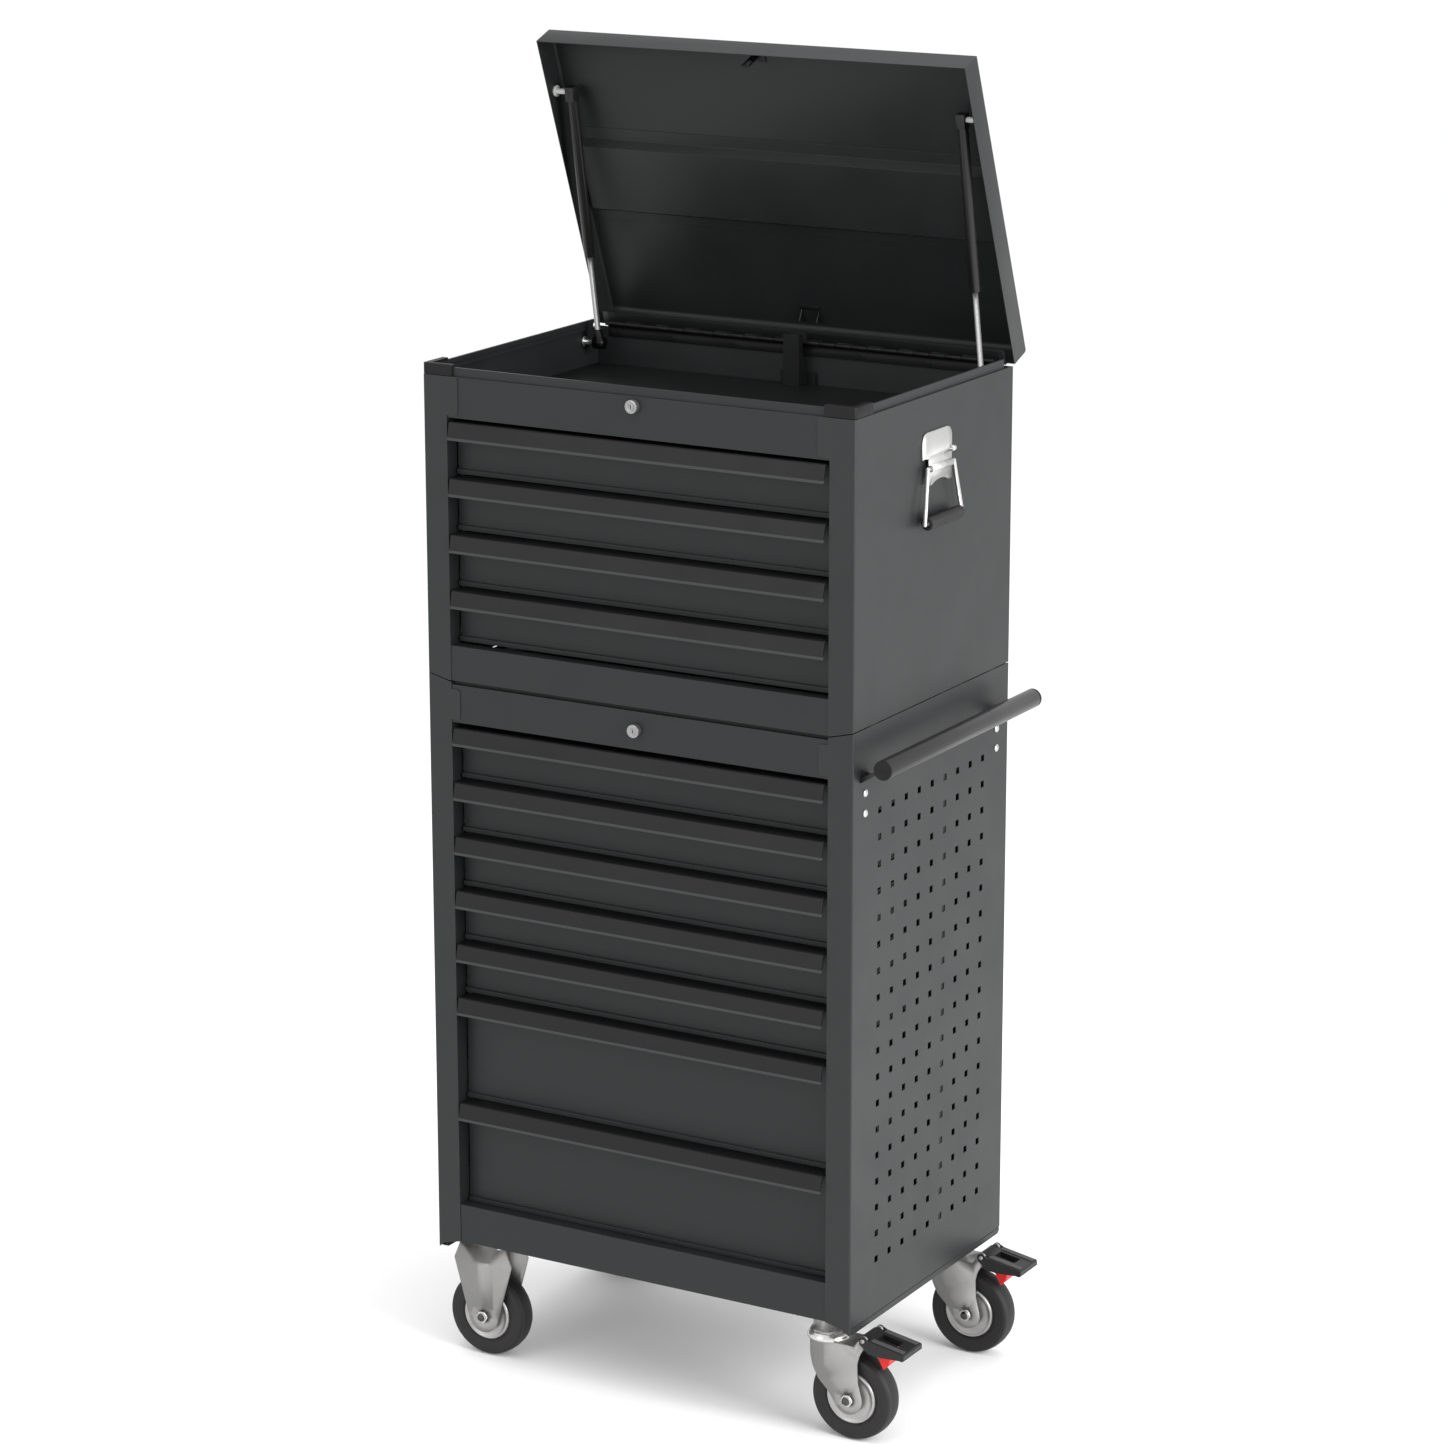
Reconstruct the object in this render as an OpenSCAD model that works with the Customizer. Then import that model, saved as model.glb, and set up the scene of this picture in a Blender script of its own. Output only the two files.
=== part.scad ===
/*
  Rolling tool chest: a drawer cabinet on four casters with a lidded chest
  fixed on top. Millimetres, +Z up, floor at Z = 0, drawers open toward -Y.
  The origin lies under the middle of the overall bounding box.
*/

/* [Body] */

// Width over the two side panels
width = 677.3; // [650:0.1:740]
// Depth over the front stiles and the back panel
depth = 456; // [440:1:500]
// Height taken by one small drawer
pitch = 79.27; // [76:0.01:84]
// Thickness of the body sheet steel
sheet = 1.2; // [0.9:0.1:1.5]

/* [Peg holes] */

// Side of one square peg hole
peg_size = 9.5; // [6:0.5:11]
// Distance between peg holes
peg_pitch = 38; // [30:1:42]

/* [Lid] */

// How far the lid stands open from the closed position, degrees
lid_open = 69; // [50:1:72]
// Depth of the lid skirt above the body rim
lid_rise = 40; // [30:1:44]

/* [Handles] */

// Diameter of the push handle tube
tube_d = 27; // [22:1:30]
// Diameter of the grip on the two lifting bails
grip_d = 18; // [14:1:19]

/* [Casters] */

// Wheel diameter
wheel_d = 125; // [118:0.5:126]
// Tread width
wheel_w = 32; // [26:1:34]

/* [Hidden] */

$fn = 64;

hw = width / 2;            // half width of the body
hd = depth / 2;            // half depth of the body
hi = hw - sheet;           // inner face of the side panels
t = sheet;

z_base = 168;              // underside of the base rails
z_open = 237.6;            // foot of the drawer stack in the cabinet
z_cab = z_open + 9 * pitch;     // top of the uppermost cabinet pull
z_hd1 = z_cab + 61.5;      // top edge of the cabinet header
z_ch0 = z_cab + 67.5;      // lower edge of the chest
z_st = z_ch0 + 50.5;       // foot of the drawer stack in the chest
z_chs = z_st + 4 * pitch;  // top of the uppermost chest pull
z_top = z_chs + 62.5;      // top edge of the chest header and side panels
z_rim = z_top + 12.5;      // top of the rim lip
z_tray = z_chs + 6.4;      // underside of the tray floor

ins = hw - 38.15;          // inner edge of the stiles
dfw = ins - 3;             // half width of a drawer front
bxw = ins - 10;            // half width of a drawer box
slx = ins + 2.7;           // mounting face of the drawer slides
yf = -hd + 23;             // outer face of the drawer fronts
yb = hd - 28;              // back of the drawer boxes
g = 0.05;                  // gap between pieces that lie face to face
ret = 26;                  // depth of the stile return

hy = hd - 9;               // lid hinge axis
hz = z_top + 6;
lid_s = depth - 1;         // lid length measured over front and back skirts
lid_m0 = 12.5;             // free edge of the lid skirt above the hinge axis
lid_m1 = lid_m0 + lid_rise;// outer face of the lid panel
lid_r = 9.5;               // rear edge radius
la = 90 - lid_open;        // lean of the open lid from vertical

stx = hw - 27.65;          // centre plane of the gas struts
st_y = hd - 40;            // lower strut ball
st_z = z_top - 18;
su_s = 359;                // upper strut ball on the lid
su_m = lid_m1 - 22.2;
up_y = hy - su_s * sin(la) + su_m * cos(la);
up_z = hz + su_s * cos(la) + su_m * sin(la);
st_len = sqrt(pow(up_y - st_y, 2) + pow(up_z - st_z, 2));
st_ang = atan2(up_z - st_z, up_y - st_y);

cx = hw - 58.65;           // caster axes
cy = hd - 49;
wr = wheel_d / 2;
trail = 43;                // swivel caster trail
pv_x = 67.2;               // pedal pivot from the caster axis
pv_z = 155.7;

lk_ch = z_top - 13.2;      // lock axes
lk_cab = z_cab + 35.3;

hb_x = hw + 7.35;          // bail pivot
hb_z = z_top - 98.5;
pt_x = hw + 41.85;         // push handle tube
pt_z = z_cab + 29.4;
pb_y = hd - 34.3;          // push handle brackets

x_hi = cx + 131.6;           // outermost points used to centre the origin
x_lo = -(hb_x + 5 + grip_d / 2);
y_lo = -hd - 8;
y_hi = hy - (lid_r - 9) * sin(la) + (lid_m1 - lid_r) * cos(la) + lid_r;
ox = -(x_hi + x_lo) / 2;
oy = -(y_hi + y_lo) / 2;

drawer_cab = [ // [foot, height] of each cabinet drawer, top to bottom
  [z_cab - pitch, pitch], [z_cab - 2 * pitch, pitch],
  [z_cab - 3 * pitch, pitch], [z_cab - 4 * pitch, pitch],
  [z_cab - 5 * pitch, pitch], [z_cab - 7 * pitch, 2 * pitch],
  [z_open, 2 * pitch]];
drawer_chest = [for (i = [1 : 4]) [z_chs - i * pitch, pitch]];

// Name of the piece to draw, or "all"

// ---------------------------------------------------------------- helpers

module place() { translate([ox, oy, 0]) children(); }

module both() { children(); mirror([1, 0, 0]) children(); }

module box(a, b) {
  translate(a) cube([b[0] - a[0], b[1] - a[1], b[2] - a[2]]);
}

// cylinder between two points on the X axis direction
module rodx(x0, x1, y, z, r) {
  translate([x0, y, z]) rotate([0, 90, 0]) cylinder(h = x1 - x0, r = r);
}

// cylinder along Y
module rody(y0, y1, x, z, r) {
  translate([x, y1, z]) rotate([90, 0, 0]) cylinder(h = y1 - y0, r = r);
}

// profile given in X and Z, extruded from y0 to y1
module xz(y0, y1) {
  translate([0, y1, 0]) rotate([90, 0, 0])
    linear_extrude(height = y1 - y0) children();
}

// profile given in Y and Z, extruded from x0 to x1
module yz(x0, x1) {
  translate([x0, 0, 0]) rotate([90, 0, 90])
    linear_extrude(height = x1 - x0) children();
}

// rectangle with two rounded corners on its -X side
module ear2(x0, y0, x1, y1, r) {
  translate([x0 + r, y0]) square([x1 - x0 - r, y1 - y0]);
  translate([x0, y0 + r]) square([x1 - x0, y1 - y0 - 2 * r]);
  translate([x0 + r, y0 + r]) circle(r);
  translate([x0 + r, y1 - r]) circle(r);
}

// shape of a lid section, open at the bottom: width range, height, radii
module arch2(a, b, z0, z1, ra, rb) {
  translate([a, z0]) square([b - a, z1 - z0 - max(ra, rb)]);
  translate([a + ra, z0]) square([b - a - ra - rb, z1 - z0]);
  translate([a, z0]) square([ra, z1 - z0 - ra]);
  translate([b - rb, z0]) square([rb, z1 - z0 - rb]);
  translate([a + ra, z1 - ra]) circle(ra);
  translate([b - rb, z1 - rb]) circle(rb);
}

// right-hand side sheet seen from above: wall, front bend, stile and return
module side_plan() {
  r = 3;
  translate([hi, -hd + r]) square([t, depth - r]);
  difference() {
    translate([hw - r, -hd]) square([r, r]);
    translate([hw - r, -hd + r]) circle(r - t);
    translate([hw - r, -hd]) difference() {
      square([r, r]);
      translate([0, r]) circle(r);
    }
  }
  translate([ins, -hd]) square([hw - r - ins, t]);
  translate([ins, -hd]) square([t, ret]);
}

module lid_frame() {
  translate([0, hy, hz]) rotate([-lid_open, 0, 0]) children();
}

// ---------------------------------------------------------------- cabinet

module cab_side() {
  difference() {
    union() {
      difference() {
        translate([0, 0, z_base]) linear_extrude(height = z_hd1 + 13 - z_base)
          side_plan();
        // lower edge of the stile
        xz(-hd - 1, -hd + ret + 1) polygon([[ins - 1, z_base - 1],
          [hw + 1, z_base - 1], [hw + 1, z_base], [hw, z_base],
          [hw - 11.65, z_base + 8.4], [ins, z_base + 15], [ins - 1, z_base + 15]]);
        // lower edge of the wall and foot of the return
        box([ins - 1, -hd + 3, z_base - 1], [hw + 1, hd + 1, z_base + 9.5]);
        box([ins - 1, -hd + t, z_base - 1], [ins + 2, -hd + ret + 1, z_base + 15]);
        // sloping top edge of the stile
        xz(-hd - 1, -hd + ret + 1) polygon([[ins - 14, z_hd1], [hw, z_hd1 + 13],
          [hw, z_hd1 + 20], [ins - 14, z_hd1 + 20]]);
      }
      // lap over the header
      xz(-hd, -hd + t) ear2(ins - 14, z_cab + 11.5, ins + 2, z_cab + 55, 5);
    }
    // peg holes
    for (i = [-peg_c : peg_c], j = [0 : peg_n - 1])
      translate([hw, i * peg_pitch, z_cab - 47.5 - j * peg_pitch])
        cube([8, peg_size, peg_size], center = true);
  }
}

peg_c = floor(170 / peg_pitch);
peg_n = 1 + floor((z_cab - 47.5 - z_open - 12) / peg_pitch);

module cab_side_panels() {
  color([0.20, 0.21, 0.21]) place() {
    difference() {
      cab_side();
      for (s = [-1, 1]) box([hi - 2, s * pb_y - 15.5, z_cab + 2.5],
                            [hw + 2, s * pb_y + 15.5, z_cab + 9.5]);
    }
    mirror([1, 0, 0]) cab_side();
  }
}

module cab_back_panel() {
  color([0.18, 0.19, 0.19]) place() difference() {
    box([-hi, hd - t, z_base + 9.7], [hi, hd, z_hd1 + 12]);
    for (i = [-3 : 3]) xz(hd - 3, hd + 1)
      translate([i * 40, z_hd1 - 30]) square([26, 4], center = true);
  }
}

module cab_bottom_panel() {
  color([0.10, 0.10, 0.10]) place()
    box([-hi + 0.05, -hd + ret + 0.1, z_base + 15], [hi - 0.05, hd - t - 0.1, z_base + 15 + t]);
}

module cab_top_panel() {
  color([0.12, 0.12, 0.12]) place()
    box([-hi + 0.05, -hd + ret + 2.1, z_hd1 - t], [hi - 0.05, hd - t - 0.1, z_hd1]);
}

// channel-shaped rail between the stiles
module rail(z0, z1, d) {
  box([-ins, -hd + t, z0], [ins, -hd + 2 * t, z1]);
  box([-ins, -hd + 2 * t, z0], [ins, -hd + d, z0 + t]);
  box([-ins, -hd + 2 * t, z1 - t], [ins, -hd + d, z1]);
}

module cab_front_rails() {
  color([0.22, 0.23, 0.23]) place() {
    difference() {
      rail(z_cab + 7.3, z_hd1, ret + 2);
      rody(-hd - 1, -hd + 6, 0, lk_cab, 8.4);
    }
    rail(z_base + 15, z_open + 1.9, ret - 4);
  }
}

module cab_base_rails() {
  color([0.16, 0.16, 0.16]) place() both()
    difference() {
      union() {
        yz(hw - 12, hw) polygon([[-hd + 3, z_base + 4], [-hd + 8, z_base],
          [hd - 6, z_base], [hd - 1, z_base + 4], [hd - 1, z_base + 8.5],
          [-hd + 3, z_base + 8.5]]);
        // flange up to the bottom panel
        box([hw - 12, -hd + ret + 0.2, z_base + 8], [hw - 12 + t, hd - 6, z_base + 15]);
      }
      box([hw - 12 + t, -hd, z_base + t], [hw - t, hd + 2, z_base + 8.5 - t]);
    }
}

// upright channel between the side panel and the slides
module upright(y0, y1, xw, z0, z1) {
  box([xw - t, y0, z0], [xw, y1, z1]);
  box([slx, y0, z0], [xw - t, y0 + t, z1]);
  box([slx, y1 - t, z0], [xw - t, y1, z1]);
}

module cab_uprights() {
  color([0.13, 0.13, 0.13]) place() both() {
    for (s = [-1, 1]) mirror([0, s < 0 ? 1 : 0, 0])
      upright(hd - 69, hd - 49.6, hi, z_base + 15 + t, z_hd1 - t);
    upright(22, 54, hi, z_base + 15 + t, z_hd1 - t);
    upright(98, 130, hi - 5, z_base + 15 + t, z_cab - 66);
  }
}

// fixed slide member on the right for a drawer whose foot is at z
module slide_out(z) {
  box([slx - 1.3, -hd + 28.2, z + 10.5], [slx, yb, z + 55.5]);
  box([slx - 7.5, -hd + 28.2, z + 10.5], [slx - 1.3, yb, z + 11.8]);
  box([slx - 7.5, -hd + 28.2, z + 54.2], [slx - 1.3, yb, z + 55.5]);
}

module cab_slide_rails() {
  color([0.62, 0.63, 0.64]) place() both()
    for (d = drawer_cab) slide_out(d[0]);
}

// ---------------------------------------------------------------- chest

module chest_side() {
  difference() {
    translate([0, 0, z_ch0]) linear_extrude(height = z_top - z_ch0) side_plan();
    // sloping lower edge of the stile
    xz(-hd - 1, -hd + ret + 1) polygon([[ins - 1, z_ch0 - 1], [hw + 1, z_ch0 - 1],
      [hw + 1, z_ch0 + 8.5], [hw, z_ch0 + 8.5], [ins + 4, z_ch0], [ins - 1, z_ch0]]);
    box([ins - 1, -hd + 3, z_ch0 - 1], [hw + 1, hd + 1, z_ch0 + 8.5]);
    // the return stops under the tray floor
    box([ins - 1, -hd + t, z_tray - 1.3], [hi, -hd + ret + 1, z_top + 1]);
  }
  // lap over the header
  xz(-hd, -hd + t) ear2(ins - 18, z_chs + 8.5, ins, z_top, 5);
  // shoulder under the rim lip
  box([hi - 4.2, -hd + 7, z_top - t], [hi, hd - t, z_top]);
}

module chest_side_panels() {
  color([0.20, 0.21, 0.21]) place() both() chest_side();
}

module chest_back_panel() {
  color([0.18, 0.19, 0.19]) place() difference() {
    box([-hi, hd - t, z_ch0 + 8.7], [hi, hd, z_top]);
    // cable pass-through
    xz(hd - 3, hd + 1) translate([hw - 70, z_ch0 + 60]) circle(16);
  }
}

module chest_bottom_panel() {
  color([0.10, 0.10, 0.10]) place() {
    box([-hi + 0.05, -hd + ret + 2.1, z_ch0], [hi - 0.05, hd - t - 0.1, z_ch0 + t]);
    both() box([hw - 20, -hd + ret + 8, z_hd1], [hw - 4, hd - 10, z_ch0]);
    // strip closing the gap under the chest at the front
    box([-ins + 0.2, -hd + 6, z_hd1], [ins - 0.2, -hd + 7.2, z_ch0]);
  }
}

module chest_tray_floor() {
  color([0.11, 0.12, 0.12]) place() difference() {
    box([-hi + 0.15, -hd + 2 * t, z_tray], [hi - 0.15, hd - t - 0.1, z_tray + t]);
    // lock bar passage
    box([-8, hd - 22, z_tray - 1], [8, hd - 6, z_tray + 3]);
  }
}

module chest_front_rails() {
  color([0.22, 0.23, 0.23]) place() {
    difference() {
      union() {
        box([-ins - 34.8, -hd + t, z_tray - t], [ins + 34.8, -hd + 2 * t, z_top]);
        box([-ins, -hd + 2 * t, z_tray - t], [ins, -hd + ret - 3, z_tray]);
        box([-ins - 32, -hd + 2 * t, z_top - t], [ins + 32, -hd + 5.4, z_top]);
      }
      for (s = [-1, 1]) box([s > 0 ? ins : -ins - 40, -hd, z_tray - 2],
                            [s > 0 ? ins + 40 : -ins, -hd + 3, z_tray + 0.1]);
      rody(-hd - 1, -hd + 6, 0, lk_ch, 8.4);
    }
    rail(z_ch0, z_st - 0.7, ret - 4);
  }
}

module chest_slide_rails() {
  color([0.62, 0.63, 0.64]) place() both()
    for (d = drawer_chest) slide_out(d[0]);
}

module chest_uprights() {
  color([0.13, 0.13, 0.13]) place() both() {
    for (s = [-1, 1]) mirror([0, s < 0 ? 1 : 0, 0])
      upright(hd - 69, hd - 49.6, hi, z_ch0 + t, z_tray);
    upright(22, 54, hi, z_ch0 + t, z_tray);
  }
}

// rim lip set in from the outer faces, open at the back
module chest_rim() {
  color([0.20, 0.21, 0.21]) place() {
    box([-hw + 5.2, -hd + 4, z_top], [hw - 5.2, -hd + 5.2, z_rim]);
    both() {
      box([hw - 5.2, -hd + 4, z_top], [hw - 4, hd - 20, z_rim]);
      box([hw - 7.4, -hd + 6.5, z_rim - 6], [hw - 6.2, hd - 20, z_rim]);
      box([hw - 6.2, -hd + 6.5, z_rim - 1.2], [hw - 5.2, hd - 20, z_rim]);
    }
    box([-hw + 7.4, -hd + 5.2, z_rim - 1.2], [hw - 7.4, -hd + 7.4, z_rim]);
    box([-hw + 7.4, -hd + 6.2, z_rim - 6], [hw - 7.4, -hd + 7.4, z_rim - 1.2]);
  }
}

module corner_plan(w) {
  // outer corner rounded, legs along the front and the side
  difference() {
    translate([hw - 47, -hd]) square([47, 49]);
    translate([hw - 48, -hd + w]) square([48 - w, 49]);
    translate([hw - 4, -hd]) difference() {
      square([4.1, 4]);
      translate([0, 4]) circle(4);
    }
  }
}

module rim_corner_caps() {
  color([0.12, 0.12, 0.12]) place() both() {
    translate([0, 0, z_rim + 0.1]) linear_extrude(height = 3.4) corner_plan(9.5);
    translate([0, 0, z_top + 1]) linear_extrude(height = z_rim - z_top - 0.9)
      corner_plan(3.9);
  }
}

// fixed leaf of the long hinge with every other knuckle and the pin
module chest_hinge_leaf() {
  color([0.60, 0.60, 0.58]) place() {
    difference() {
      union() {
        yz(-hw + 21, hw - 19) polygon([[hd - t, z_top - 14], [hd - t, z_top + 0.6],
          [hy + 2.7, hz - 2.3], [hy + 1.4, hz - 3.2], [hd - t - 1.5, z_top - 0.3],
          [hd - t - 1.5, z_top - 14]]);
        // neck under each fixed knuckle
        for (i = [-6 : 6]) yz(i * 50 - 12.3, i * 50 + 12.3) polygon([
          [hy + 3.1, hz - 2.5], [hy + 1.7, hz - 3.5], [hy + 0.6, hz - 2.4],
          [hy + 2.0, hz - 1.4]]);
      }
      for (i = [-3 : 3]) rody(hd - 8, hd, i * 103.5, z_top - 7.5, 2.2);
    }
    for (i = [-6 : 6]) translate([i * 50 - 12.3, hy, hz]) rotate([0, 90, 0])
      difference() { cylinder(h = 24.6, r = 3); translate([0, 0, -1]) cylinder(h = 27, r = 1.3); }
    rodx(-hw + 21, hw - 19, hy, hz, 1.25);
    for (i = [-3 : 3]) {
      rody(hd - t - 2.6, hd - t - 1.5, i * 103.5, z_top - 7.5, 3.8);
      rody(hd - t - 1.5, hd - t, i * 103.5, z_top - 7.5, 2.1);
    }
  }
}

module lock_bar_channel() {
  color([0.16, 0.17, 0.17]) place() {
    difference() {
      box([-12.6, hd - 26, z_tray + t], [12.6, hd - 5, z_rim + 6]);
      box([-11.2, hd - 24.6, z_tray], [11.2, hd + 1, z_rim + 7]);
      // clearance for the hinge knuckles
      rodx(-20, 20, hy, hz, 4.2);
      box([-20, hd - 14, z_top - 16], [20, hd + 1, z_rim + 7]);
    }
    for (s = [-1, 1]) box([s * 20 - 8.6, hd - 6.2, z_tray + t], [s * 20 + 8.6, hd - 5, z_tray + 20]);
    for (s = [-1, 1]) box([s * 20 - 6, hd - 5, z_tray + 4], [s * 20 + 6, hd - t, z_tray + 10]);
  }
}

module strut_studs() {
  color([0.72, 0.72, 0.72]) place() both() {
    rodx(stx + 1, hi, st_y, st_z, 4);
    rodx(hi - 3, hi, st_y, st_z, 8);
  }
}

// ---------------------------------------------------------------- drawers

// pull section, y from the drawer face, z from its top
module pull_sec() {
  polygon([[0, 0], [-23.5, 0], [-25.6, -1.2], [-30.2, -20.6], [-31, -21.4],
    [-31, -25], [-27.8, -25], [-27.6, -22.6], [-23.6, -3.8], [-22, -2],
    [-1.4, -2], [-1.4, -23], [0, -23]]);
}

module drawer(z, h) {
  top = z + h;
  // box: bottom, two sides, back
  difference() {
    box([-bxw, yf + t + g, z + 7], [bxw, yb, top - 12]);
    box([-bxw + t, yf + t - 1, z + 7 + t], [bxw - t, yb - t, top]);
  }
  // front sheet with the bottom bead and a stiffening return at the top
  box([-dfw, yf, z + 4], [dfw, yf + t, top]);
  box([-dfw, yf + t, top - t], [dfw, yf + 14, top]);
  xz(yf - 4, yf) translate([-dfw, z + 2.8]) square([2 * dfw, 6.8]);
  // pull
  difference() {
    translate([0, yf - g, top]) yz(-dfw + 0.5, dfw - 0.5) pull_sec();
    for (s = [-1, 1]) mirror([s < 0 ? 1 : 0, 0, 0])
      translate([dfw - 0.5, yf - 31.5, top - 25.5]) linear_extrude(height = 27)
        polygon([[0.4, 32], [3, 32], [3, 0], [-2, 0]]);
  }
  // moving slide members
  both() {
    box([bxw + g, yf + 2, z + 16], [bxw + 1.3, yb - 2, z + 50]);
    box([bxw + 1.3, yf + 2, z + 16], [bxw + 8.8, yb - 2, z + 17.3]);
    box([bxw + 1.3, yf + 2, z + 48.7], [bxw + 8.8, yb - 2, z + 50]);
  }
}

module cdr(i) { color([0.23, 0.24, 0.24]) place() drawer(drawer_cab[i][0], drawer_cab[i][1]); }
module hdr(i) { color([0.23, 0.24, 0.24]) place() drawer(drawer_chest[i][0], drawer_chest[i][1]); }

module cab_drawer_1() { cdr(0); }
module cab_drawer_2() { cdr(1); }
module cab_drawer_3() { cdr(2); }
module cab_drawer_4() { cdr(3); }
module cab_drawer_5() { cdr(4); }
module cab_drawer_6() { cdr(5); }
module cab_drawer_7() { cdr(6); }
module chest_drawer_1() { hdr(0); }
module chest_drawer_2() { hdr(1); }
module chest_drawer_3() { hdr(2); }
module chest_drawer_4() { hdr(3); }

// ---------------------------------------------------------------- locks

module lock_body(z) {
  difference() {
    union() {
      rody(-hd - 7.4, -hd + t, 0, z, 9.2);
      rody(-hd + t, -hd + 24, 0, z, 8.1);
    }
    rody(-hd - 9, -hd + 25, 0, z, 4.5);
  }
}

module lock_housings() {
  color([0.72, 0.72, 0.73]) place() {
    lock_body(lk_ch);
    lock_body(lk_cab);
  }
}

module lock_core(z) {
  color([0.66, 0.66, 0.67]) place() {
    difference() {
      rody(-hd - 7.8, -hd + 26, 0, z, 4.45);
      box([-0.6, -hd - 9, z - 2.8], [0.6, -hd - 2, z + 2.8]);
    }
    // cam behind the header
    box([-5, -hd + 26, z - 8], [5, -hd + 28, z + 6]);
  }
}

module chest_lock_core() { lock_core(lk_ch); }
module cab_lock_core() { lock_core(lk_cab); }

// ---------------------------------------------------------------- lid

module lid_solid(d, zlo) {
  intersection() {
    yz(-hw + d, hw - d)
      arch2(-lid_s + 9 + d, 9 - d, zlo, lid_m1 - d, 5 - d, lid_r - d);
    xz(-lid_s, 20)
      arch2(-hw + d, hw - d, zlo, lid_m1 - d, 5 - d, 5 - d);
  }
}

module lid_shell() {
  color([0.11, 0.12, 0.12]) place() lid_frame() {
    difference() {
      lid_solid(0, 8);
      lid_solid(t, 6);
      box([-hw - 1, -lid_s, 0], [hw + 1, 6.5, lid_m0]);
      // room for the rim lip ends beside the hinge
      for (s = [-1, 1]) box([s * hw - 12, 0, 0], [s * hw + 12, 12, lid_m0]);
    }
    // hinge flange along the back skirt, notched over the lock bar channel
    difference() {
      box([-hw + 12.5, -14, 8], [hw - 12.5, 9 - t, 8 + t]);
      box([-13.5, -15, 6], [13.5, 0, 12]);
    }
  }
}

module lid_stiffener() {
  color([0.12, 0.13, 0.13]) place() lid_frame()
    yz(-hw + 14, hw - 14) polygon([[-294, lid_m1 - t], [-294, lid_m1 - 2 * t],
      [-276, lid_m1 - 2 * t], [-268, lid_m1 - 14], [-168, lid_m1 - 14],
      [-160, lid_m1 - 2 * t], [-146, lid_m1 - 2 * t], [-146, lid_m1 - t],
      [-161, lid_m1 - t], [-169, lid_m1 - 14 + t], [-267, lid_m1 - 14 + t],
      [-275, lid_m1 - t]]);
}

module lid_hinge_leaf() {
  color([0.60, 0.60, 0.58]) place() lid_frame() {
    difference() {
      box([-hw + 21, -13, 6.5], [hw - 19, 6, 8]);
      box([-13.5, -15, 6], [13.5, 0, 12]);
    }
    for (i = [-6 : 5]) translate([i * 50 + 25 - 12.2, 0, 0]) {
      difference() {
        union() {
          rotate([0, 90, 0]) cylinder(h = 24.4, r = 3);
          box([0, -0.8, 1], [24.4, 0.8, 6.5]);
        }
        translate([-1, 0, 0]) rotate([0, 90, 0]) cylinder(h = 27, r = 1.3);
      }
    }
  }
}

module lid_fittings() {
  color([0.55, 0.55, 0.54]) place() lid_frame() {
    // lock striker
    difference() {
      union() {
        box([-6.5, -431, 6], [6.5, -429, lid_m1 - t]);
        box([-6.5, -429, lid_m1 - t - 2], [6.5, -415, lid_m1 - t]);
      }
      box([-3.5, -434, 10], [3.5, -425, 22]);
    }
    // ears over the lock bar
    for (s = [-1, 1]) yz(s * 14 - 0.8, s * 14 + 0.8)
      polygon([[-24, lid_m1 - t], [-3, lid_m1 - t], [-11, lid_m1 - 14]]);
    box([-14.8, -30, lid_m1 - t - 1.5], [14.8, -24, lid_m1 - t]);
    // upper strut studs on the side skirts
    both() {
      rodx(stx + 6.9, hi, -su_s, su_m, 4);
      rodx(hi - 3, hi, -su_s, su_m, 8);
    }
  }
}

// strut axis frame: origin at the lower ball, +Z toward the upper ball
module strut_frame(s) {
  translate([s * stx, st_y, st_z]) rotate([st_ang - 90, 0, 0]) children();
}

module strut_rods() {
  color([0.80, 0.80, 0.80]) place() for (s = [-1, 1]) strut_frame(s) {
    difference() {
      translate([0, 0, 6]) cylinder(h = st_len - 96, r = 4);
      translate([0, 0, 0]) sphere(6);
    }
    difference() {
      union() {
        translate([s > 0 ? -8 : -8, 0, 0]) rotate([0, 90, 0]) cylinder(h = 16, r = 9);
        translate([0, 0, 4]) cylinder(h = 16, r = 6.6);
      }
      // socket for the stud
      translate([s > 0 ? 0.8 : -12, 0, 0]) rotate([0, 90, 0]) cylinder(h = 11.2, r = 4.05);
      translate([0, 0, 6]) cylinder(h = 40, r = 4);
    }
  }
}

module strut_cylinders() {
  color([0.10, 0.10, 0.10]) place() for (s = [-1, 1]) strut_frame(s) {
    difference() {
      translate([0, 0, 132]) cylinder(h = st_len - 132 - 12, r = 7.5);
      translate([0, 0, 100]) cylinder(h = 40, r = 4.05);
      translate([0, 0, 139]) cylinder(h = st_len - 139 - 20, r = 6.5);
    }
    // end fitting
    box([-6.5, -7.4, st_len - 12.5], [6.5, 7.4, st_len + 8]);
  }
}

// ---------------------------------------------------------------- handles

module push_handle_tube() {
  color([0.18, 0.18, 0.18]) place() difference() {
    rody(-hd + 8.3, hd - 8.3, pt_x, pt_z, tube_d / 2);
    rody(-hd + 7, hd - 7, pt_x, pt_z, tube_d / 2 - 1.5);
  }
}

module push_tube_caps() {
  color([0.06, 0.06, 0.06]) place() for (s = [-1, 1]) mirror([0, s < 0 ? 0 : 1, 0])
    difference() {
      union() {
        rody(-hd + 4.3, -hd + 8.3, pt_x, pt_z, tube_d / 2);
        rody(-hd + 8.3, -hd + 22, pt_x, pt_z, tube_d / 2 - 1.5);
      }
      translate([pt_x, -hd - 19.5, pt_z]) sphere(26, $fn = 96);
    }
}

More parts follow.
